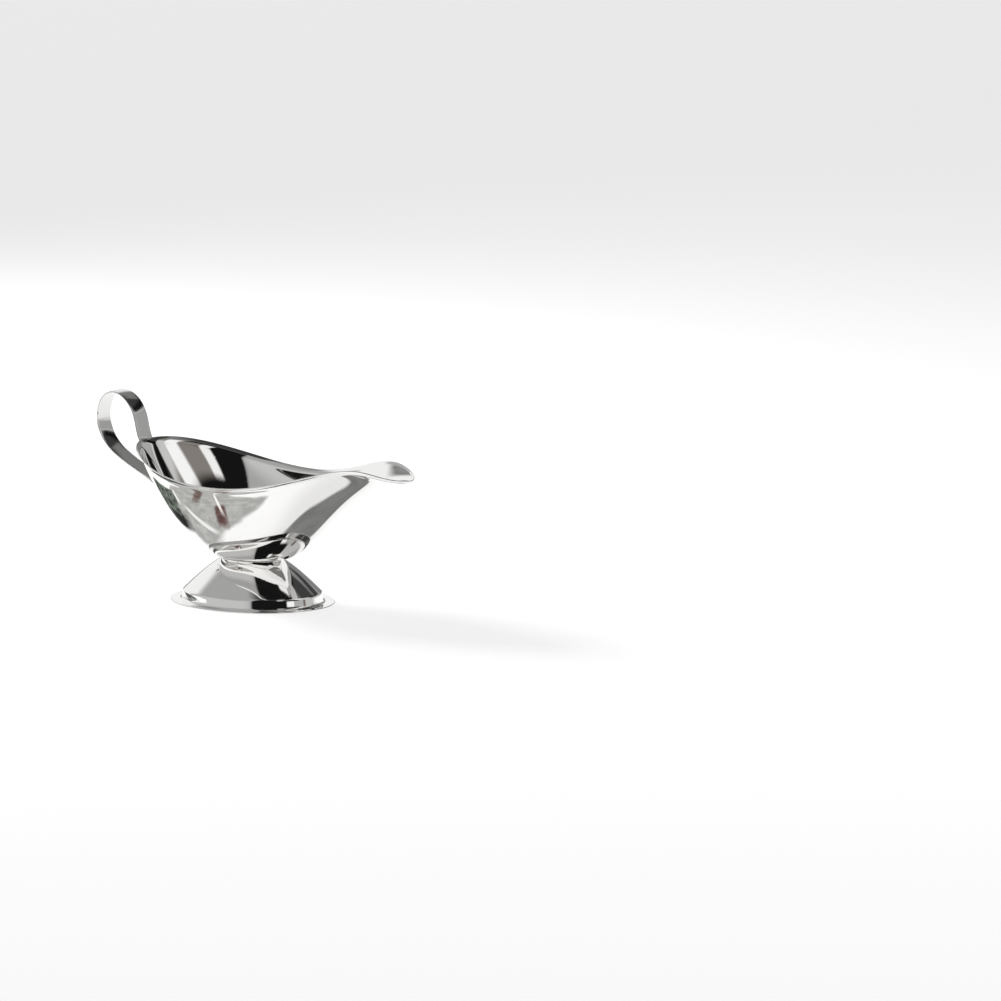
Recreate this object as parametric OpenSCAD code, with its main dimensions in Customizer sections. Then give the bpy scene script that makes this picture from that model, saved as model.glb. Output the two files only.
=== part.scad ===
// Polished sauce boat: a thin drawn bowl with a pouring lip, a hollow oval foot
// and a bent strap handle, spot-welded together.
// Millimetres. Origin at the centre of the foot's base, +X to the lip, +Z up.

/* [Bowl] */
// Length of the rim, from the back to the tip of the lip
bowl_l = 172; // [160:1:185]
// Width over the rim
bowl_w = 89; // [82:1:96]
// Height of the rim at the back
rim_back_z = 82; // [78:0.5:86]
// How far the bowl sits forward of the foot's middle
bowl_x = 1.1; // [0:0.1:2]
// Thickness of the bowl's sheet
bowl_wall = 0.8; // [0.6:0.1:1]
// Height of the underside of the bowl's flat bottom
bottom_z = 23.6; // [22:0.2:26]
// Half length of the flat bottom
pad_a = 16; // [14:0.5:17]
// Half width of the flat bottom
pad_b = 13.5; // [12:0.5:14.5]
// How far the rim flares outwards
flare_w = 2.4; // [1.5:0.1:3]
// Height of the flare
flare_h = 3.2; // [2.5:0.1:4]

/* [Foot] */
// Half length of the foot over its flange
foot_a = 47; // [45:0.5:50]
// Width of the foot as a share of its length
foot_ratio = 0.8; // [0.76:0.01:0.86]
// Thickness of the foot's sheet
foot_wall = 0.8; // [0.6:0.1:1]
// Width of the flat flange that the foot stands on
flange_w = 5; // [4:0.1:6]

/* [Handle] */
// Width of the strap
strap_w = 12; // [10:0.5:14]
// Thickness of the strap
strap_t = 1.2; // [1:0.1:1.5]
// Height of the top of the loop
handle_z = 107; // [104:0.5:110]

/* [Welds] */
// Diameter of a weld nugget
nugget_d = 3; // [2:0.5:4]
// Distance between the two nuggets of a pair, centre to centre
nugget_gap = 5; // [4:0.5:6]

/* [Hidden] */
// Points round the bowl and the foot, and steps down the wall and the flare
ring_n = 72;
wall_n = 14;
flare_n = 4;
// Steps along the strap
strap_n = 84;
// Gap between the strap and the bowl, which the nuggets bridge
strap_gap = 0.15;

// ---- curves -------------------------------------------------------------
// Uniform cubic B-spline through a list of control points, at u of 0 to len - 3
function bspline(c, u) =
    let (i = min(floor(u), len(c) - 4), t = u - i)
    (pow(1 - t, 3) * c[i] + (3 * pow(t, 3) - 6 * t * t + 4) * c[i + 1]
     + (3 * t * t + 3 * t + 1 - 3 * pow(t, 3)) * c[i + 2] + pow(t, 3) * c[i + 3]) / 6;
// Cubic Bezier curve
function bezier(p, t) =
    pow(1 - t, 3) * p[0] + 3 * t * pow(1 - t, 2) * p[1]
    + 3 * t * t * (1 - t) * p[2] + pow(t, 3) * p[3];
function clamp(x) = max(0, min(1, x));
function smooth(x) = let (k = clamp(x)) k * k * (3 - 2 * k);
function unit(v) = v / norm(v);
// Half an outline that runs from one crossing of the XZ plane to the other,
// with its mirrored neighbours added, so that the whole outline is smooth
function flip(p) = [p.x, -p.y, p.z];
function half_ring(c) = concat([flip(c[1])], c, [flip(c[len(c) - 2])]);

// ---- rim of the bowl ----------------------------------------------------
// Half of the rim's control polygon, from the back to the tip of the lip: a round
// back, a dip at the sides, a throat, and a lip that rises and then droops at its
// blunt tip. It is drawn for the rim length, width and height below.
rim_shape = [
    [-72, 0, 82.5], [-65.5, 19, 82], [-50, 35, 77], [-29.5, 44.5, 70.5],
    [-4, 45, 66], [24, 40.5, 66.5], [49, 34, 72.5], [65, 24, 77.5],
    [80.5, 19.5, 79.5], [92.5, 15, 75.5], [99.5, 7, 73.5], [102.5, 0, 73]];
shape_l = 172;
shape_w = 89;
shape_h = 58.4;
rim_h = rim_back_z - bottom_z;
rim_c = [for (p = rim_shape) [
    bowl_x + p.x * bowl_l / shape_l,
    p.y * bowl_w / shape_w,
    bottom_z + (p.z - bottom_z) * rim_h / shape_h]];
rim_n = len(rim_c);

// ---- wall of the bowl ---------------------------------------------------
// Each meridian is a Bezier curve from the rim to the flat bottom. Its two middle
// points lie on the way from the bottom's edge to the rim, at shares of the length,
// the width and the height. The shares go from the side's to the back's and the lip's.
back_share = [for (p = rim_shape) smooth((-10 - p.x) / 62)];
lip_share = [for (p = rim_shape) smooth((p.x - 20) / 82.5)];
prow_share = [for (p = rim_shape) clamp((p.x - 65) / 37.5)];
point_share = [for (p = rim_shape) pow(clamp((p.x - 60) / 42.5), 2)];
function blend(i, back, side, lip, share) =
    side + (back - side) * back_share[i] + (lip - side) * share;
function pad_edge(p) = let (a = atan2(p.y, p.x)) [pad_a * cos(a), pad_b * sin(a), bottom_z];
function towards(p, s) =
    let (q = pad_edge(p)) [for (k = [0:2]) q[k] + (p[k] - q[k]) * s[k]];
upper_c = [for (i = [0:rim_n - 1]) towards(rim_c[i], [
    blend(i, 0.79, 0.84, 0.5, pow(prow_share[i], 1.75)),
    blend(i, 0.79, 0.84, 0, point_share[i]),
    blend(i, 0.65, 0.55, 0.94, lip_share[i])])];
lower_c = [for (i = [0:rim_n - 1]) towards(rim_c[i], [
    blend(i, 0.31, 0.33, 0.305, sqrt(prow_share[i])),
    blend(i, 0.31, 0.33, 0, point_share[i]),
    0])];
pad_c = [for (p = rim_c) pad_edge(p)];
rim_ring = half_ring(rim_c);
upper_ring = half_ring(upper_c);
lower_ring = half_ring(lower_c);
pad_ring = half_ring(pad_c);
// Outward normal of the rim in plan, at spline parameter u
function rim_out(u) =
    let (d = bspline(rim_ring, min(u + 0.01, rim_n - 1)) - bspline(rim_ring, max(u - 0.01, 0)))
    unit([-d.y, d.x, 0]);
// The flare is full at the back and sides and fades towards the lip
function flare_share(u) = 1 - 0.6 * smooth((u - 5) / 5);
// Control points of the meridian at u, from the foot of the flare to the bottom
function meridian(u) = [
    bspline(rim_ring, u) - flare_share(u) * (flare_w * rim_out(u) + [0, 0, flare_h]),
    bspline(upper_ring, u), bspline(lower_ring, u), bspline(pad_ring, u)];
// The flare turns out of the wall's own slope: its Bezier points, rim first
function flare(u, m) =
    let (s = unit(m[0] - m[1]), h = flare_share(u) * flare_h)
    [bspline(rim_ring, u), m[0] + s * h * 0.75, m[0] + s * h * 0.4, m[0]];
// Half meridian from the rim down to the bottom, as points on the outer face
function section(u) =
    let (m = meridian(u), f = flare(u, m))
    concat(
        [for (k = [0:flare_n - 1]) bezier(f, k / flare_n)],
        [for (k = [0:wall_n]) bezier(m, k / wall_n)]);
half_n = ring_n / 2;
half_sections = [for (k = [0:half_n]) section(k * (rim_n - 1) / half_n)];
bowl_outer = [for (k = [0:ring_n - 1])
    k <= half_n ? half_sections[k] : [for (p = half_sections[ring_n - k]) flip(p)]];

// ---- shells -------------------------------------------------------------
// Normal of a closed grid of sections at section k, point j, to the inside
function grid_normal(g, k, j) =
    let (n = len(g), m = len(g[0]),
         along = g[k][min(j + 1, m - 1)] - g[k][max(j - 1, 0)],
         across = g[(k + 1) % n][j] - g[(k + n - 1) % n][j])
    unit(cross(along, across));
function inset(g, t) =
    [for (k = [0:len(g) - 1]) [for (j = [0:len(g[0]) - 1]) g[k][j] + t * grid_normal(g, k, j)]];
function flat_list(g) = [for (s = g) each s];

// A closed sheet between an outer grid of sections and an inner one. The sections'
// first points make the open edge, and a flat plate closes their last points.
module sheet(outer, inner) {
    n = len(outer);
    m = len(outer[0]);
    mid_out = [0, 0, outer[0][m - 1].z];
    mid_in = [0, 0, inner[0][m - 1].z];
    points = concat(flat_list(outer), flat_list(inner), [mid_out, mid_in]);
    shift = n * m;
    faces = concat(
        [for (k = [0:n - 1], j = [0:m - 2]) let (a = k * m + j, b = ((k + 1) % n) * m + j)
            each [[a, a + 1, b + 1], [a, b + 1, b]]],
        [for (k = [0:n - 1], j = [0:m - 2]) let (a = shift + k * m + j, b = shift + ((k + 1) % n) * m + j)
            each [[a, b + 1, a + 1], [a, b, b + 1]]],
        [for (k = [0:n - 1]) let (a = k * m, b = ((k + 1) % n) * m)
            each [[a, b, shift + b], [a, shift + b, shift + a]]],
        [for (k = [0:n - 1]) let (a = k * m + m - 1, b = ((k + 1) % n) * m + m - 1)
            each [[a, 2 * shift, b], [shift + a, shift + b, 2 * shift + 1]]]);
    polyhedron(points, faces);
}

module bowl() {
    color("silver") sheet(bowl_outer, inset(bowl_outer, bowl_wall));
}

// ---- foot ---------------------------------------------------------------
// The flange is a flat oval ring. The skirt stands in it: a fillet, a short wall
// that leans in, a round shoulder, a domed skirt, and the rounded edge of the flat
// top that carries the bowl. Its profile is given as half lengths and heights.
fillet_r = 1.4;
wall_lean = 9;
wall_h = 3.3;
shoulder_r = 2;
skirt_slope = 42;
skirt_pull = 9;
neck_slope = 29;
neck_pull = 8;
neck = [pad_a + 2.5, bottom_z - 0.8];
// The fillet runs this far down into the flange, and the flange this far under it
fillet_sink = 0.3;
flange_lap = 0.6;
function slope_out(a) = [sin(a), cos(a)];
function slope_up(a) = [-cos(a), sin(a)];
function ray(a) = [cos(a), sin(a)];
flange_mid = [foot_a - flange_w, foot_wall + fillet_r - fillet_sink];
wall_head = flange_mid - fillet_r * ray(wall_lean) + wall_h * slope_up(90 - wall_lean);
shoulder_mid = wall_head - shoulder_r * ray(wall_lean);
function arc(mid, r, from, to, steps) =
    [for (k = [0:steps]) mid + r * ray(from + (to - from) * k / steps)];
// Outer face of the skirt at depth d into its sheet, from the flange up
function skirt(d) =
    let (low = shoulder_mid + (shoulder_r - d) * slope_out(skirt_slope),
         high = neck - d * slope_out(neck_slope))
    [low, low + skirt_pull * slope_up(skirt_slope), high - neck_pull * slope_up(neck_slope), high];
// Its deeper face starts further round the fillet, so that it stays inside the flange
function fillet_start(d) = 250 - 20 * d;
function foot_profile(d) = concat(
    arc(flange_mid, fillet_r + d, fillet_start(d), 180 + wall_lean, 4),
    arc(shoulder_mid, shoulder_r - d, wall_lean, 90 - skirt_slope, 4),
    [for (k = [1:8]) bezier(skirt(d), k / 8)],
    [[pad_a + 1.6, bottom_z - 0.25 - 0.9 * d], [pad_a + 0.8, bottom_z - d]]);
// Oval outline of a half length, as a list of points in plan
function ring_angle(k) = 180 + 360 * k / ring_n;
function oval(a) = [for (k = [0:ring_n - 1])
    [a * cos(ring_angle(k)), foot_ratio * a * sin(ring_angle(k))]];
// Grid of sections round the oval
function oval_grid(profile) = [for (k = [0:ring_n - 1])
    [for (p = profile) let (q = oval(p.x)[k]) [q.x, q.y, p.y]]];

module foot() {
    color("silver") {
        sheet(oval_grid(foot_profile(0)), oval_grid(foot_profile(foot_wall)));
        linear_extrude(foot_wall)
            difference() {
                polygon(oval(foot_a));
                polygon(oval(flange_mid.x - fillet_r - flange_lap));
            }
    }
}

// ---- handle -------------------------------------------------------------
// The strap's ends lie along the back of the bowl, at shares of its meridian
lower_pad = [0.64, 0.59, 0.54, 0.49, 0.44];
upper_pad = [0.14, 0.18, 0.22, 0.26, 0.3];
back = meridian(0);
function to_xz(p) = [p.x, p.z];
function wall_out(t) =
    let (d = unit(bezier(back, t + 0.01) - bezier(back, t - 0.01))) [d.z, -d.x];
function off_wall(t, d) = to_xz(bezier(back, t)) + d * wall_out(t);
// Middle line of the strap from its lower end over the loop to its upper end, drawn
// for a loop this high above its lower end
loop_low = 60;
loop_h = 47;
loop_shape = [
    [-62.5, 60], [-71.5, 64.5], [-80, 68.5], [-87, 72.5], [-93, 76.5], [-98.5, 83.5],
    [-101, 91.5], [-99.5, 100.5], [-94.5, 107], [-86.5, 107.5], [-79.5, 103], [-75, 95.5],
    [-73.7, 87.5], [-71.5, 80.5]];
strap_c = concat(
    [for (t = lower_pad) off_wall(t, strap_gap + strap_t / 2)],
    [for (p = loop_shape) [
        bowl_x + p.x * bowl_l / shape_l,
        loop_low + (p.y - loop_low) * (handle_z - loop_low) / loop_h]],
    [for (t = upper_pad) off_wall(t, strap_gap + strap_t / 2)]);
strap_last = len(strap_c) - 1;
strap_ring = concat(
    [2 * strap_c[0] - strap_c[1]],
    strap_c,
    [2 * strap_c[strap_last] - strap_c[strap_last - 1]]);
function strap_at(k, side) =
    let (u = strap_last * k / strap_n, p = bspline(strap_ring, u),
         d = unit(bspline(strap_ring, min(u + 0.01, strap_last)) - bspline(strap_ring, max(u - 0.01, 0))))
    p + side * strap_t / 2 * [-d.y, d.x];

module handle() {
    color("gainsboro")
        rotate([90, 0, 0])
            linear_extrude(strap_w, center = true)
                polygon(concat(
                    [for (k = [0:strap_n]) strap_at(k, 1)],
                    [for (k = [strap_n:-1:0]) strap_at(k, -1)]));
}

// ---- welds --------------------------------------------------------------
// A pair of nuggets side by side, sunk into the two sheets they join
module nugget_pair(length) {
    for (y = [-nugget_gap / 2, nugget_gap / 2])
        translate([0, y, 0]) cylinder(h = length, d = nugget_d, center = true, $fn = 48);
}
// A pair through the strap's end and the bowl's wall at share t of the meridian
module strap_nuggets(t) {
    depth = (bowl_wall + strap_gap + strap_t) * 0.7;
    mid = off_wall(t, (strap_t + strap_gap - bowl_wall) / 2);
    n = wall_out(t);
    color("darkgray")
        translate([mid.x, 0, mid.y])
            rotate([0, atan2(n.x, n.y), 0])
                nugget_pair(depth);
}
module upper_handle_welds() {
    strap_nuggets(upper_pad[2]);
}
module lower_handle_welds() {
    strap_nuggets(lower_pad[2]);
}
// Two pairs between the bowl's flat bottom and the foot's top
module foot_welds() {
    color("darkgray")
        for (x = [-pad_a / 2, pad_a / 2])
            translate([x, 0, bottom_z]) nugget_pair((bowl_wall + foot_wall) * 0.6);
}

bowl();
foot();
handle();
upper_handle_welds();
lower_handle_welds();
foot_welds();
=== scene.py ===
"""Looks of the polished sauce boat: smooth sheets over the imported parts, steel, light and camera."""

import math

import bpy
import numpy as np
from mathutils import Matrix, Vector

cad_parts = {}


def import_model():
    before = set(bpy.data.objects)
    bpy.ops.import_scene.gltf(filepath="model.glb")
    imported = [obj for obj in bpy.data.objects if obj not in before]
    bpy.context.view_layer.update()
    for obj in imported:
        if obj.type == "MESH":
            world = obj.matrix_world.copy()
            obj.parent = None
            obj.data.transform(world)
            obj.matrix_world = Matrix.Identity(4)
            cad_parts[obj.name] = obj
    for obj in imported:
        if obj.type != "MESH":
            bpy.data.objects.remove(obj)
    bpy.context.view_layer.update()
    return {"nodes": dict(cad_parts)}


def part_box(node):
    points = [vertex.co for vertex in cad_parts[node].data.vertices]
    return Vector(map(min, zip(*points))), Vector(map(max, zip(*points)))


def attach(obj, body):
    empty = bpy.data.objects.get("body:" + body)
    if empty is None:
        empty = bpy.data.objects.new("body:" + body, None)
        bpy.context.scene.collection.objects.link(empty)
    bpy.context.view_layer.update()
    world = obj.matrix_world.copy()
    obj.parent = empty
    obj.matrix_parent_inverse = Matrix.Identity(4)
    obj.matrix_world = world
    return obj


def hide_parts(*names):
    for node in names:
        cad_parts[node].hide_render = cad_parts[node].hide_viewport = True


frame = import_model()

MM = 0.001

# ---- Driving dimensions, in millimetres ---------------------------------
BOTTOM_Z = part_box("foot")[1].z / MM
FOOT_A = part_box("foot")[1].x / MM
FOOT_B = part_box("foot")[1].y / MM
STRAP_W = (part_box("handle")[1].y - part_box("handle")[0].y) / MM
WALL = 0.8
BOWL_X = 1.1
PAD_A = 16.0
PAD_B = 13.5
FLARE_W = 2.4
FLARE_H = 3.2
FLANGE_W = 5.0
STRAP_T = 1.2
STRAP_GAP = 0.15


# ---- Curves --------------------------------------------------------------
def bspline(controls, u):
    """Points of the uniform cubic B-spline through a list of controls, at the parameters u."""
    c = np.asarray(controls, float)
    i = np.minimum(np.floor(u).astype(int), len(c) - 4)
    t = (u - i)[:, None]
    near = (1 - t) ** 3 * c[i] + (3 * t**3 - 6 * t * t + 4) * c[i + 1]
    far = (3 * t * t + 3 * t + 1 - 3 * t**3) * c[i + 2] + t**3 * c[i + 3]
    return (near + far) / 6


def bezier(p0, p1, p2, p3, t):
    """Points of cubic Bezier curves. The controls are (n, 3) and t is (m,), which gives (n, m, 3)."""
    p0, p1, p2, p3 = (np.asarray(p, float)[..., None, :] for p in (p0, p1, p2, p3))
    t = np.asarray(t, float)[:, None]
    return (1 - t) ** 3 * p0 + 3 * t * (1 - t) ** 2 * p1 + 3 * t * t * (1 - t) * p2 + t**3 * p3


def smooth(x):
    """Smooth step from 0 to 1."""
    k = np.clip(x, 0, 1)
    return k * k * (3 - 2 * k)


def unit(v):
    """v with its last axis scaled to length 1."""
    return v / np.linalg.norm(v, axis=-1, keepdims=True)


# ---- Meshes --------------------------------------------------------------
def mesh_object(name, points, faces, body="root"):
    """A smooth-shaded mesh object from points in millimetres, riding on a body."""
    mesh = bpy.data.meshes.new(name)
    mesh.from_pydata((np.asarray(points) * MM).tolist(), [], faces)
    mesh.polygons.foreach_set("use_smooth", [True] * len(mesh.polygons))
    mesh.validate()
    piece = bpy.data.objects.new(name, mesh)
    bpy.context.scene.collection.objects.link(piece)
    if body:
        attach(piece, body)
    return piece


def fitted(points, node):
    """Points in millimetres moved and scaled, by a hair, into a CAD node's box."""
    low, high = (np.array(corner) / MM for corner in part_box(node))
    points = np.asarray(points, float)
    mine_low, mine_high = points.min(0), points.max(0)
    scale = (high - low) / (mine_high - mine_low)
    return low + (points - mine_low) * scale


def grid_normals(grid):
    """Unit normals of a closed ring of sections, by central differences."""
    along = np.gradient(grid, axis=1)
    across = np.roll(grid, -1, axis=0) - np.roll(grid, 1, axis=0)
    return unit(np.cross(along, across))


def sheet_mesh(outer, thickness, plate_rings=6, edge_steps=6):
    """Points and faces of a sheet round the Z axis. outer is (ring, section, 3), from its open edge
    to the edge of the flat plate that closes it. The open edge is rounded."""
    plate = outer[:, -1:]
    middle = plate.mean(0, keepdims=True)
    shares = np.linspace(0, 1, plate_rings + 1)[1:-1, None]
    outer = np.concatenate([outer, plate + (middle - plate) * shares], axis=1)
    inner = outer + thickness * grid_normals(outer)
    top, bottom = outer[:, 0], inner[:, 0]
    half = (top - bottom) / 2
    tip = unit(outer[:, 0] - outer[:, 1]) * thickness / 2
    turn = np.linspace(0, math.pi, edge_steps + 1)[1:-1, None]
    edge = (top + bottom)[:, None] / 2 + np.cos(turn) * half[:, None] + np.sin(turn) * tip[:, None]
    section = np.concatenate([outer[:, ::-1], edge, inner], axis=1)
    n, m = section.shape[:2]
    points = section.reshape(-1, 3).tolist()
    points += [outer[:, -1].mean(0).tolist(), inner[:, -1].mean(0).tolist()]
    faces = []
    for k in range(n):
        a, b = k * m, ((k + 1) % n) * m
        faces += [(a + j, b + j, b + j + 1, a + j + 1) for j in range(m - 1)]
        faces += [(b, a, n * m), (a + m - 1, b + m - 1, n * m + 1)]
    return points, faces


# ---- Bowl ----------------------------------------------------------------
# Half of the rim's control polygon, from the back to the tip of the lip
RIM = [BOWL_X, 0, 0] + np.array([
    [-72, 0, 82.5], [-65.5, 19, 82], [-50, 35, 77], [-29.5, 44.5, 70.5],
    [-4, 45, 66], [24, 40.5, 66.5], [49, 34, 72.5], [65, 24, 77.5],
    [80.5, 19.5, 79.5], [92.5, 15, 75.5], [99.5, 7, 73.5], [102.5, 0, 73]])
RIM_SPANS = len(RIM) - 1
FLIP = np.array([1, -1, 1])


def half_ring(controls):
    """Half an outline with its mirrored neighbours added, so that the whole outline is smooth."""
    return np.concatenate([controls[1:2] * FLIP, controls, controls[-2:-1] * FLIP])


def pad_edge(controls):
    """Points of the flat bottom's edge under the controls."""
    a = np.arctan2(controls[:, 1], controls[:, 0])
    return np.stack([PAD_A * np.cos(a), PAD_B * np.sin(a), np.full(len(a), BOTTOM_Z)], axis=1)


def wall_controls():
    """The four rings of controls that the bowl's meridians run through, rim first."""
    x = RIM[:, 0] - BOWL_X
    back, lip = smooth((-10 - x) / 62), smooth((x - 20) / 82.5)
    prow, point = np.clip((x - 65) / 37.5, 0, 1), np.clip((x - 60) / 42.5, 0, 1) ** 2

    def blend(at_back, at_side, at_lip, share):
        return at_side + (at_back - at_side) * back + (at_lip - at_side) * share

    pad = pad_edge(RIM)
    plan = [blend(0.79, 0.84, 0.5, prow**1.75), blend(0.79, 0.84, 0, point)]
    upper = pad + (RIM - pad) * np.stack([*plan, blend(0.65, 0.55, 0.94, lip)], axis=1)
    plan = [blend(0.31, 0.33, 0.305, prow**0.5), blend(0.31, 0.33, 0, point)]
    lower = pad + (RIM - pad) * np.stack([*plan, 0 * x], axis=1)
    return [half_ring(c) for c in (RIM, upper, lower, pad)]


def bowl_sections(u, wall_steps, flare_steps):
    """The bowl's outer face at rim parameters u: (u, section, 3), from the rim to the bottom."""
    rim, upper, lower, pad = (bspline(c, u) for c in wall_controls())
    ring = half_ring(RIM)
    ahead = bspline(ring, np.minimum(u + 0.01, RIM_SPANS))
    behind = bspline(ring, np.maximum(u - 0.01, 0))
    d = ahead - behind
    out = unit(np.stack([-d[:, 1], d[:, 0], 0 * u], axis=1))
    share = (1 - 0.6 * smooth((u - 5) / 5))[:, None]
    start = rim - share * (FLARE_W * out + [0, 0, FLARE_H])
    slope = unit(start - upper) * share * FLARE_H
    shares = np.arange(flare_steps) / flare_steps
    flare = bezier(rim, start + slope * 0.75, start + slope * 0.4, start, shares)
    wall = bezier(start, upper, lower, pad, np.linspace(0, 1, wall_steps + 1))
    return np.concatenate([flare, wall], axis=1)


def bowl():
    """The drawn bowl with its pouring lip."""
    half = bowl_sections(np.linspace(0, RIM_SPANS, 181), wall_steps=64, flare_steps=12)
    whole = np.concatenate([half, half[-2:0:-1] * FLIP])
    points, faces = sheet_mesh(whole, WALL)
    piece = mesh_object("bowl_sheet", fitted(points, "bowl"), faces)
    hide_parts("bowl")
    return piece


# ---- Foot ----------------------------------------------------------------
FILLET_R = 1.4
WALL_LEAN = 9
WALL_H = 3.3
SHOULDER_R = 2.0
SKIRT_SLOPE = 42
SKIRT_PULL = 9
NECK_SLOPE = 29
NECK_PULL = 8


def ray(degrees):
    """Unit vector at an angle in the profile's plane."""
    return np.array([math.cos(math.radians(degrees)), math.sin(math.radians(degrees))])


def arc(middle, radius, start, end, steps):
    """Points of an arc in the profile's plane, from start to end in degrees."""
    return np.array([middle + radius * ray(a) for a in np.linspace(start, end, steps + 1)])


def foot_profile():
    """The foot's outer face as half lengths and heights, from the flange's edge up to its flat top."""
    fillet_mid = np.array([FOOT_A - FLANGE_W, WALL + FILLET_R])
    wall_head = fillet_mid - FILLET_R * ray(WALL_LEAN) + WALL_H * ray(90 + WALL_LEAN)
    shoulder = arc(wall_head - SHOULDER_R * ray(WALL_LEAN), SHOULDER_R, WALL_LEAN, 90 - SKIRT_SLOPE, 10)
    neck = np.array([PAD_A + 2.5, BOTTOM_Z - WALL])
    low_slope, high_slope = ray(180 - SKIRT_SLOPE), ray(180 - NECK_SLOPE)
    shares = np.linspace(0, 1, 33)
    leave, arrive = shoulder[-1] + SKIRT_PULL * low_slope, neck - NECK_PULL * high_slope
    skirt = bezier(shoulder[-1], leave, arrive, neck, shares)
    top_edge = np.array([PAD_A + 0.8, BOTTOM_Z])
    crown = bezier(neck, neck + 0.7 * high_slope, top_edge + [0.6, 0], top_edge, np.linspace(0, 1, 9))
    flange = np.linspace([FOOT_A - WALL / 2, WALL], [FOOT_A - FLANGE_W + 0.3, WALL], 8)
    fillet = arc(fillet_mid, FILLET_R, 270, 180 + WALL_LEAN, 8)
    wall = np.linspace(fillet[-1], shoulder[0], 5)[1:-1]
    return np.concatenate([flange, fillet, wall, shoulder, skirt[1:], crown[1:]])


def foot():
    """The hollow oval foot, open below."""
    profile = foot_profile()
    a = np.radians(180 + np.arange(360))[:, None]
    ring = np.stack([profile[:, 0] * np.cos(a), FOOT_B / FOOT_A * profile[:, 0] * np.sin(a),
                     profile[:, 1] + 0 * a], axis=2)
    points, faces = sheet_mesh(ring, WALL)
    piece = mesh_object("foot_sheet", fitted(points, "foot"), faces)
    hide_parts("foot")
    return piece


# ---- Handle --------------------------------------------------------------
# Middle line of the loop, as X and Z, between the strap's two ends on the bowl's back.
# The ends lie along the wall, at shares of its meridian
LOOP = [BOWL_X, 0] + np.array([
    [-62.5, 60], [-71.5, 64.5], [-80, 68.5], [-87, 72.5], [-93, 76.5], [-98.5, 83.5],
    [-101, 91.5], [-99.5, 100.5], [-94.5, 107], [-86.5, 107.5], [-79.5, 103], [-75, 95.5],
    [-73.7, 87.5], [-71.5, 80.5]])
LOWER_PAD = [0.64, 0.59, 0.54, 0.49, 0.44]
UPPER_PAD = [0.14, 0.18, 0.22, 0.26, 0.3]


def back_line(shares, distance):
    """Points, as X and Z, that far outside the bowl's back, at shares of its meridian."""
    rim, upper, lower, pad = (bspline(c, np.zeros(1))[0] for c in wall_controls())
    start = rim + [FLARE_W, 0, -FLARE_H]
    shares = np.asarray(shares)
    wall = (start, upper, lower, pad)
    at = bezier(*wall, shares)
    d = unit(bezier(*wall, shares + 0.01) - bezier(*wall, shares - 0.01))
    out = np.stack([d[:, 2], -d[:, 0]], axis=1)
    return at[:, [0, 2]] + distance * out


def strap_line(steps):
    """Middle line of the strap and its unit normal, as X and Z."""
    away = STRAP_GAP + STRAP_T / 2
    controls = np.concatenate([back_line(LOWER_PAD, away), LOOP, back_line(UPPER_PAD, away)])
    ends = 2 * controls[[0, -1]] - controls[[1, -2]]
    controls = np.concatenate([ends[:1], controls, ends[1:]])
    last = len(controls) - 3
    u = np.linspace(0, last, steps + 1)
    line = bspline(controls, u)
    d = unit(bspline(controls, np.minimum(u + 0.01, last)) - bspline(controls, np.maximum(u - 0.01, 0)))
    return line, np.stack([-d[:, 1], d[:, 0]], axis=1)


def strap_section():
    """Section of the strap, across its width and through it: rounded edges, slightly crowned faces."""
    half_w, half_t = STRAP_W / 2, STRAP_T / 2
    r, bulge = 0.32, 0.24
    across = np.linspace(-(half_w - r), half_w - r, 17)
    crown = bulge * (1 - (across / (half_w - r)) ** 2)
    top = np.stack([across[::-1], half_t - bulge + crown[::-1]], axis=1)
    left = arc((-(half_w - r), half_t - bulge - r), r, 90, 180, 5)[1:]
    lower = left[::-1] * [1, -1]
    bottom = top[::-1] * [1, -1]
    right = lower[::-1] * [-1, 1]
    upper = left[::-1] * [-1, 1]
    return np.concatenate([top, left, lower, bottom[1:-1], right, upper])


def handle():
    """The bent strap."""
    line, normal = strap_line(420)
    section = strap_section()
    rings = np.stack([
        line[:, None, 0] + normal[:, None, 0] * section[None, :, 1],
        np.broadcast_to(section[None, :, 0], (len(line), len(section))),
        line[:, None, 1] + normal[:, None, 1] * section[None, :, 1]], axis=2)
    n, m = rings.shape[:2]
    sides = [(j, (j + 1) % m, m + (j + 1) % m, m + j) for j in range(m)]
    faces = [tuple(k * m + corner for corner in side) for k in range(n - 1) for side in sides]
    faces += [tuple(range(m))[::-1], tuple((n - 1) * m + j for j in range(m))]
    piece = mesh_object("handle_strap", fitted(rings.reshape(-1, 3), "handle"), faces)
    run = np.concatenate([[0], np.cumsum(np.linalg.norm(np.diff(line, axis=0), axis=1))]) * MM
    girth = np.concatenate([[0], np.cumsum(np.linalg.norm(np.diff(section, axis=0), axis=1))]) * MM
    strip = piece.data.uv_layers.new(name="strip")
    for loop in piece.data.loops:
        strip.data[loop.index].uv = (run[loop.vertex_index // m], girth[loop.vertex_index % m])
    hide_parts("handle")
    return piece


# ---- Node helpers --------------------------------------------------------
def add(tree, kind, inputs=None, **settings):
    """A new node with its settings. Each input is a value, or a socket to link."""
    made = tree.nodes.new(kind)
    for name, value in settings.items():
        setattr(made, name, value)
    for key, value in (inputs or {}).items():
        if isinstance(value, bpy.types.NodeSocket):
            tree.links.new(value, made.inputs[key])
        else:
            made.inputs[key].default_value = value
    return made


def maths(tree, operation, *values):
    """Result of a math node."""
    return add(tree, "ShaderNodeMath", dict(enumerate(values)), operation=operation).outputs[0]


def vector_maths(tree, operation, *values):
    """A vector math node."""
    return add(tree, "ShaderNodeVectorMath", dict(enumerate(values)), operation=operation)


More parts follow.
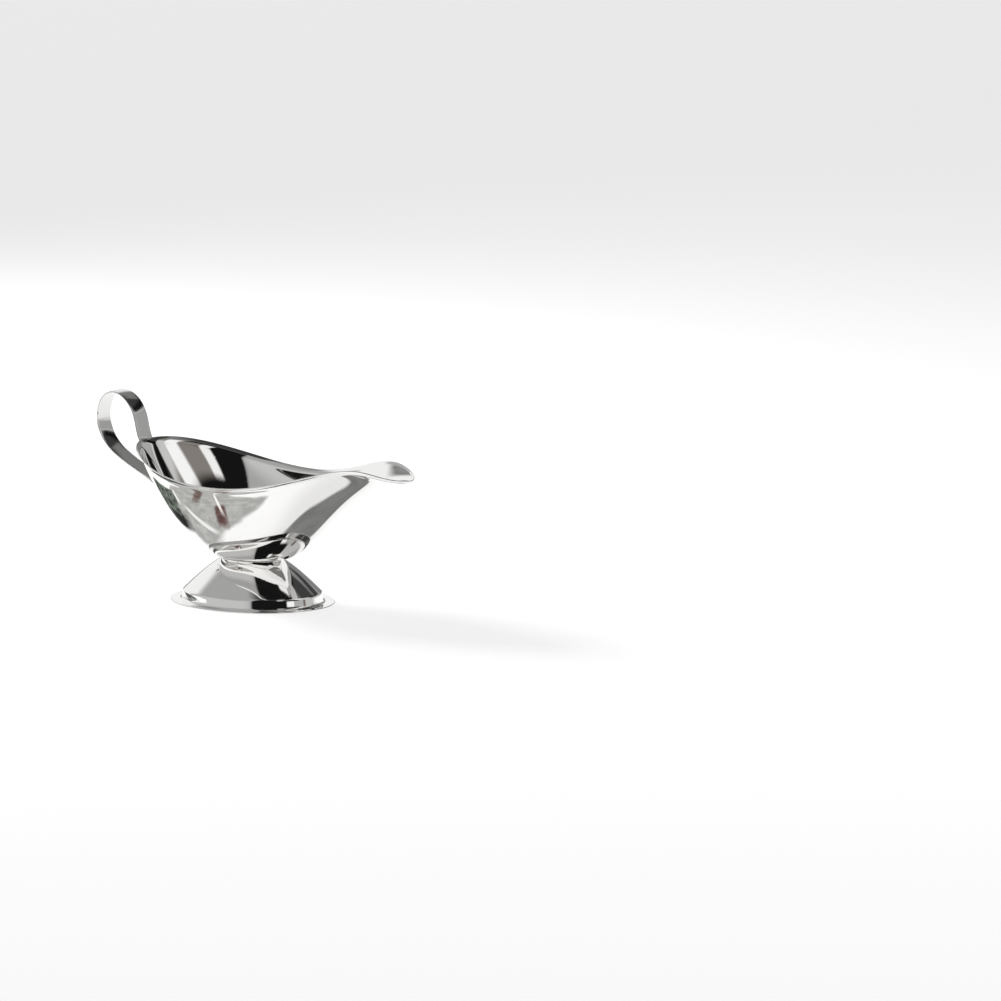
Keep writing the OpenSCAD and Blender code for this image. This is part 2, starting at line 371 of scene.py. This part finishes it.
def step(tree, value, low, high, at_low=0.0, at_high=1.0):
    """Smooth step from at_low to at_high while value goes from low to high."""
    inputs = dict(enumerate((value, low, high, at_low, at_high)))
    return add(tree, "ShaderNodeMapRange", inputs, interpolation_type="SMOOTHSTEP").outputs[0]


def noise(tree, coordinates, scale, detail=2.0, roughness=0.5, stretch=(1, 1, 1)):
    """Noise texture value with its coordinates stretched."""
    mapping = add(tree, "ShaderNodeMapping", {"Vector": coordinates, "Scale": stretch})
    inputs = {"Vector": mapping.outputs[0], "Scale": scale, "Detail": detail, "Roughness": roughness}
    return add(tree, "ShaderNodeTexNoise", inputs).outputs[0]


# ---- Materials -----------------------------------------------------------
def material(name, **constants):
    """A new material, its node tree and its shader with constant inputs set."""
    made = bpy.data.materials.new(name)
    made.use_nodes = True
    tree = made.node_tree
    shader = tree.nodes["Principled BSDF"]
    for key, value in constants.items():
        shader.inputs[key.replace("_", " ").title()].default_value = value
    return made, tree, shader


def polished_steel():
    """Buffed stainless steel: faint hairlines, and wiped patches that are a little duller."""
    made, tree, shader = material("polished_steel", base_color=(0.9, 0.895, 0.885, 1), metallic=1)
    place = add(tree, "ShaderNodeTexCoord").outputs["Object"]
    wiped = noise(tree, place, 45, 3, 0.6)
    hairs = noise(tree, place, 900, 2, 0.6, (1, 0.06, 0.5))
    cross = noise(tree, place, 700, 2, 0.6, (0.05, 1, 0.6))
    lines = maths(tree, "ADD", step(tree, hairs, 0.62, 0.78), step(tree, cross, 0.64, 0.8))
    dull = step(tree, wiped, 0.42, 0.72, 0.015, 0.05)
    tree.links.new(maths(tree, "MULTIPLY_ADD", lines, 0.04, dull), shader.inputs["Roughness"])
    waves = maths(tree, "MULTIPLY", noise(tree, place, 30, 1), 0.6)
    height = maths(tree, "MULTIPLY_ADD", lines, -0.3, waves)
    bump = add(tree, "ShaderNodeBump", {"Height": height, "Strength": 0.06, "Distance": 0.0002})
    tree.links.new(bump.outputs[0], shader.inputs["Normal"])
    return made


def strap_steel():
    """Rolled strip with its grain along the strap."""
    steel = (0.75, 0.745, 0.735, 1)
    made, tree, shader = material("strap_steel", base_color=steel, metallic=1, anisotropic=0.4)
    place = add(tree, "ShaderNodeUVMap", uv_map="strip").outputs[0]
    grain = noise(tree, place, 1, 3, 0.65, (25, 2600, 1))
    bands = noise(tree, place, 1, 2, 0.5, (8, 420, 1))
    both = maths(tree, "MULTIPLY_ADD", grain, 0.6, maths(tree, "MULTIPLY", bands, 0.4))
    tree.links.new(step(tree, both, 0.3, 0.7, 0.04, 0.13), shader.inputs["Roughness"])
    bump = add(tree, "ShaderNodeBump", {"Height": both, "Strength": 0.3, "Distance": 0.0001})
    tree.links.new(bump.outputs[0], shader.inputs["Normal"])
    return made


def weld_steel():
    """Bare weld metal, duller than the sheets, with a faint straw tint."""
    made, tree, shader = material("weld_steel", metallic=1)
    place = add(tree, "ShaderNodeTexCoord").outputs["Object"]
    grains = noise(tree, place, 1500, 3, 0.6)
    tint = add(tree, "ShaderNodeValToRGB", {0: noise(tree, place, 500, 2)})
    tint.color_ramp.elements[0].color = (0.52, 0.5, 0.46, 1)
    tint.color_ramp.elements[1].color = (0.66, 0.62, 0.54, 1)
    tree.links.new(tint.outputs[0], shader.inputs["Base Color"])
    tree.links.new(step(tree, grains, 0.3, 0.7, 0.28, 0.45), shader.inputs["Roughness"])
    bump = add(tree, "ShaderNodeBump", {"Height": grains, "Strength": 0.4, "Distance": 0.0001})
    tree.links.new(bump.outputs[0], shader.inputs["Normal"])
    return made


# ---- Stage, light and camera ---------------------------------------------
def floor():
    """A wide, plain pale floor. It glows a little, so it stays nearly white in the shade."""
    half = 30 / MM
    points = [[-half, -half, 0], [half, -half, 0], [half, half, 0], [-half, half, 0]]
    piece = mesh_object("floor", points, [(0, 1, 2, 3)], body=None)
    made, tree, shader = material("floor_paper", base_color=(0.3, 0.3, 0.3, 1), roughness=0.95)
    shader.inputs["Emission Color"].default_value = (1, 1, 1, 1)
    shader.inputs["Emission Strength"].default_value = 0.7
    piece.data.materials.append(made)


def around(azimuth, elevation, distance):
    """A place round the boat. Azimuth runs to the right of the camera's direction."""
    a, e = VIEW_AZIMUTH + math.radians(azimuth), math.radians(elevation)
    flat = Vector((math.sin(a), -math.cos(a), 0)) * math.cos(e)
    return (flat + Vector((0, 0, math.sin(e)))) * distance


# Every card glows and is hidden from the camera, the lamps and the shadows: painted reflections for the
# metal, most of them painted shade of the table, a few painted bright lines.
# Cards on the floor that only the metal sees, in millimetres to the right and towards the camera:
# name, middle of one end, middle of the other, width, softness, colour, how blotchy
CARDS = [
    # Painted shade: the grey table in shadow to the left of the boat.
    ("card_grey_shade", (-190, 45), (-28, 45), 150, 0.12, (0.46, 0.46, 0.45), 0.15),
    # Painted shade, dark, greenish and uneven: the table in shadow at the back left.
    ("card_green_shade", (-118, -185), (-112, -6), 92, 0.2, (0.1, 0.115, 0.1), 1.0),
    # Painted shade: a dark band on the table at the back left.
    ("card_dark_shade", (-88, -115), (-74, 0), 34, 0.6, (0.03, 0.03, 0.03), 0.4),
    # Painted bright streak: a thin white line between the painted shade cards.
    ("card_lit_streak", (-160, -13), (-104, -10), 12, 0.5, (0.95, 0.95, 0.94), 0),
    # Painted bright line along the edge of the painted shade.
    ("card_lit_edge", (-112, 0), (-38, 26), 9, 0.5, (0.95, 0.95, 0.94), 0),
    # Painted reflection: a dark brown patch for the bowl's outside to mirror.
    ("card_brown_reflection", (-90, 72), (-40, 31), 18, 0.5, (0.15, 0.09, 0.085), 0.3),
    # Painted reflection: a dark brown streak for the bowl's outside to mirror.
    ("card_umber_reflection", (-175, 92), (-98, 28), 22, 0.6, (0.16, 0.125, 0.11), 0.4),
    # Painted highlight: a bright line, brighter than white, mirrored on the bowl's outside.
    ("card_lit_line", (-160, 112), (-46, 43), 5, 0.7, (1.1, 1.08, 1.05), 0),
    # Painted shadow: the boat's own shadow on the table under the prow, mirrored as the dark band down the
    # keel.
    ("card_prow_shadow", (9, 17), (137, 85), 36, 0.25, (0.2, 0.2, 0.195), 0.1)]
# Height of the lowest card over the floor, and of each card over the one before
CARD_GAP = 0.05


def card(order, name, start, end, width, soft, colour, blotchy):
    """A thin glowing card with rounded, uneven, soft edges, from start to end: a painted reflection, which
    only the metal sees.
    """
    to_right, to_camera = around(90, 0, 1).xy, around(0, 0, 1).xy
    start, end = Vector(start), Vector(end)
    side = (end - start).orthogonal().normalized() * width / 2
    corners = [start - side, end - side, end + side, start + side]
    height = CARD_GAP * (order + 1)
    points = [(*(to_right * c.x + to_camera * c.y), height) for c in corners]
    piece = mesh_object(name, points, [(0, 1, 2, 3)], body=None)
    spread = piece.data.uv_layers.new(name="spread")
    for loop, uv in zip(spread.data, ((-1, -1), (1, -1), (1, 1), (-1, 1))):
        loop.uv = uv
    made = bpy.data.materials.new(name)
    made.use_nodes = True
    tree = made.node_tree
    tree.nodes.clear()
    place = add(tree, "ShaderNodeUVMap", uv_map="spread").outputs[0]
    bend = add(tree, "ShaderNodeTexNoise", {"Vector": place, "Scale": 1.6, "Detail": 2})
    shifted = vector_maths(tree, "SUBTRACT", bend.outputs[1], (0.5, 0.5, 0.5)).outputs[0]
    scaled = vector_maths(tree, "MULTIPLY", shifted, (0.5, 0.5, 0)).outputs[0]
    moved = vector_maths(tree, "ADD", place, scaled).outputs[0]
    squared = vector_maths(tree, "MULTIPLY", moved, moved).outputs[0]
    reach = maths(tree, "SQRT", vector_maths(tree, "LENGTH", squared).outputs["Value"])
    share = step(tree, reach, 1 - soft, 1, 1, 0)
    # Blotches make the painted reflection brighter and darker in patches.
    blotches = noise(tree, add(tree, "ShaderNodeTexCoord").outputs["Object"], 60, 4, 0.7)
    strength = step(tree, blotches, 0.35, 0.7, 1 - 0.7 * blotchy, 1 + 2 * blotchy)
    # The card glows with its colour, dark for painted shade and white for painted bright lines, for the
    # metal to mirror.
    glow = add(tree, "ShaderNodeEmission", {"Color": (*colour, 1), "Strength": strength})
    clear = add(tree, "ShaderNodeBsdfTransparent")
    mix = add(tree, "ShaderNodeMixShader", {0: share, 1: clear.outputs[0], 2: glow.outputs[0]})
    add(tree, "ShaderNodeOutputMaterial", {0: mix.outputs[0]})
    piece.data.materials.append(made)
    piece.visible_camera = piece.visible_diffuse = piece.visible_shadow = False


LIGHT_TARGET = Vector((0, 0, 0.04))


def soft_box(name, azimuth, elevation, distance, width, height, power):
    """A rectangular soft light that faces the boat, which the metal doesn't mirror."""
    light = bpy.data.lights.new(name, "AREA")
    light.shape = "RECTANGLE"
    light.size, light.size_y, light.energy = width, height, power
    lamp = bpy.data.objects.new(name, light)
    lamp.location = around(azimuth, elevation, distance)
    lamp.rotation_mode = "QUATERNION"
    lamp.rotation_quaternion = (LIGHT_TARGET - lamp.location).to_track_quat("-Z", "Y")
    lamp.visible_camera = lamp.visible_glossy = False
    bpy.context.scene.collection.objects.link(lamp)


# Soft panels of the studio: azimuth from and to, elevation from and to, softness, all in degrees,
# then brightness and warmth
PANELS = [
    (-180, 180, 62, 120, 12, 0.045, 0), (-135, -26, -20, 72, 8, 0.40, 0), (-125, -26, -20, 26, 22, 0.58, 0),
    (-190, -126, -20, 37, 14, 0.95, 0), (-175, -118, 46, 62, 6, 0.28, 0), (62, 200, -20, 5, 6, 0.85, 0),
    (62, 104, -20, 34, 7, 0.55, 0), (96, 152, 3, 21, 6, 0.42, 0), (104, 152, 22, 56, 4, 0.05, 0),
    (136, 166, 33, 44, 6, 0.24, 0), (104, 138, 24, 32, 3, 0.006, 0), (104, 138, 20.5, 22.5, 1, 0.7, 0),
    (-24, 62, -40, 60, 4, 0.008, 0), (34, 50, -20, 8, 4, 1.0, 0), (50, 72, -20, 8, 4, 0.45, 0),
    (72, 78, -20, 8, 3, 0.15, 0.6), (20, 106, 34, 48, 5, 0.22, 0.25), (18, 31, 32, 48, 4, 0.95, 0),
    (60, 84, 32, 49, 6, 1.0, 0), (84, 104, 30, 40, 6, 0.6, 0), (158, 202, -3, 5, 3, 0.12, 0)]
# What full warmth adds to a panel's red, green and blue, and the colour between panels
TINT = (0.35, 0, -0.3)
SHADE = (0.22, 0.22, 0.22, 1)


def world():
    """The studio round the boat: soft panels of even brightness, and shade between them."""
    made = bpy.data.worlds.new("studio")
    bpy.context.scene.world = made
    made.use_nodes = True
    tree = made.node_tree
    way = add(tree, "ShaderNodeTexCoord").outputs["Generated"]

    def along(axis):
        return vector_maths(tree, "DOT_PRODUCT", way, axis).outputs["Value"]

    flat = maths(tree, "ARCTAN2", along(around(90, 0, 1)), along(around(0, 0, 1)))
    azimuth = maths(tree, "MULTIPLY", flat, math.degrees(1))
    elevation = maths(tree, "MULTIPLY", maths(tree, "ARCSINE", along((0, 0, 1))), math.degrees(1))
    colour = SHADE
    for left, right, low, high, soft, bright, warmth in PANELS:
        middle, half = (left + right) / 2, (right - left) / 2
        turn = maths(tree, "WRAP", maths(tree, "SUBTRACT", azimuth, middle), 180, -180)
        off = maths(tree, "ABSOLUTE", turn)
        share = step(tree, off, half - soft / 2, half + soft / 2, 1, 0) if half < 180 else 1
        rise = maths(tree, "ABSOLUTE", maths(tree, "SUBTRACT", elevation, (low + high) / 2))
        half = (high - low) / 2
        share = maths(tree, "MULTIPLY", share, step(tree, rise, half - soft / 2, half + soft / 2, 1, 0))
        panel = (*(bright * (1 + warmth * tint) for tint in TINT), 1)
        mix = add(tree, "ShaderNodeMix", {0: share, 6: colour, 7: panel}, data_type="RGBA")
        colour = mix.outputs[2]
    tree.links.new(colour, tree.nodes["Background"].inputs["Color"])


VIEW_AZIMUTH = math.radians(36)
VIEW_ELEVATION = math.radians(9.12)
VIEW_DISTANCE = 2.2
VIEW_CENTRE = Vector((BOWL_X * MM, 0, 0.05))
AIM_RIGHT = 0.1323
AIM_UP = 0.003
LENS = 147.8


def camera():
    """The camera at the viewing angle, aimed to the right of the boat, which stands in the left half."""
    sin_a, cos_a = math.sin(VIEW_AZIMUTH), math.cos(VIEW_AZIMUTH)
    sin_e, cos_e = math.sin(VIEW_ELEVATION), math.cos(VIEW_ELEVATION)
    back = Vector((sin_a * cos_e, -cos_a * cos_e, sin_e))
    right = Vector((cos_a, sin_a, 0))
    aim = VIEW_CENTRE + right * AIM_RIGHT + back.cross(right) * AIM_UP
    view = bpy.data.objects.new("camera", bpy.data.cameras.new("camera"))
    view.data.lens = LENS
    view.location = VIEW_CENTRE + back * VIEW_DISTANCE
    view.rotation_mode = "QUATERNION"
    view.rotation_quaternion = (aim - view.location).to_track_quat("-Z", "Y")
    bpy.context.scene.collection.objects.link(view)
    bpy.context.scene.camera = view


bowl_piece, foot_piece, handle_piece = bowl(), foot(), handle()
mirror, strip, weld = polished_steel(), strap_steel(), weld_steel()
for piece, steel in ((bowl_piece, mirror), (foot_piece, mirror), (handle_piece, strip)):
    piece.data.materials.append(steel)
for node in ("upper_handle_welds", "lower_handle_welds", "foot_welds"):
    for place in frame["nodes"][node].material_slots:
        place.material = weld
floor()
for order, numbers in enumerate(CARDS):
    card(order, *numbers)
soft_box("key", azimuth=-135, elevation=30, distance=1.6, width=0.6, height=0.5, power=42)
soft_box("side", azimuth=79, elevation=41, distance=1.5, width=0.8, height=0.35, power=8)
world()
camera()
bpy.context.scene.view_settings.view_transform = "Standard"
